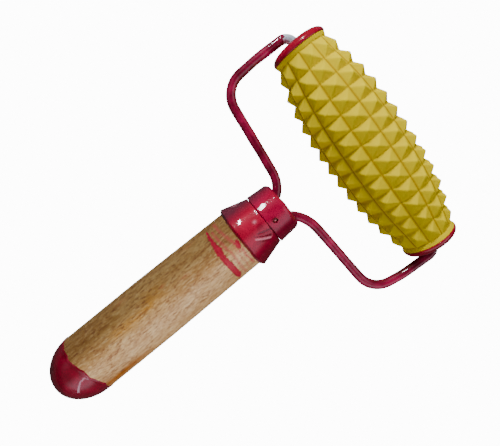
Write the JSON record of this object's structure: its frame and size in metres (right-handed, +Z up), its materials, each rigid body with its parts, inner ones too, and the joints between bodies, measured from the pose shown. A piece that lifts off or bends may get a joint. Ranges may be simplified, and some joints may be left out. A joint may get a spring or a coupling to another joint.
{
  "type": "massage roller",
  "caption": "Hand-held massage roller: a crowned spiked barrel turns between two bent rod arms that come out of a collar on a turned wooden handle.",
  "frame": {"origin": "centre of the bare straight stretch of the wooden grip, on the handle's axis", "axes": "+X along the handle's axis from butt to roller, +Y towards the roller's left end, +Z up out of the plane of the rod frame"},
  "size_m": [0.2296, 0.1426, 0.0472],
  "materials": {
    "varnished_wood": "clear varnish over open-grained hardwood",
    "butt_enamel_red": "dipped gloss enamel",
    "ferrule_red": "gloss enamel on pressed steel",
    "collar_red": "gloss enamel on pressed steel",
    "nail_steel": "painted-over steel nail",
    "pin_steel": "plain ground steel",
    "rod_steel": "bright drawn steel",
    "rod_enamel_red": "hand-brushed gloss enamel",
    "washer_steel": "zinc plated steel",
    "push_nut_steel": "blackened spring steel",
    "bush_nylon": "natural nylon",
    "barrel_yellow": "satin moulded plastic",
    "cap_red": "gloss moulded plastic"
  },
  "bodies": {
    "frame": {"handle_grip": "varnished_wood", "butt_enamel": "butt_enamel_red", "ferrule": "ferrule_red", "collar": "collar_red", "collar_nail": "nail_steel", "tang_pins": "pin_steel", "arm_left": "rod_steel", "arm_right": "rod_steel", "enamel_left": "rod_enamel_red", "enamel_right": "rod_enamel_red", "thrust_washers": "washer_steel", "push_nuts": "push_nut_steel"},
    "bushes": {"hub_bush_left": "bush_nylon", "hub_bush_right": "bush_nylon"},
    "roller": {"spiked_barrel": "barrel_yellow", "end_cap_left": "cap_red", "end_cap_right": "cap_red"}
  },
  "joints": [
    {"name": "roller_float", "type": "slide", "parent": "frame", "child": "bushes", "axis": [0.041, 0.9992, 0], "range_m": [-0.0012, 0.0012]},
    {"name": "roller_spin", "type": "hinge", "parent": "bushes", "child": "roller", "pos_m": [0.1605, -0.00415, 0], "axis": [0.041, 0.9992, 0], "continuous": true}
  ]
}
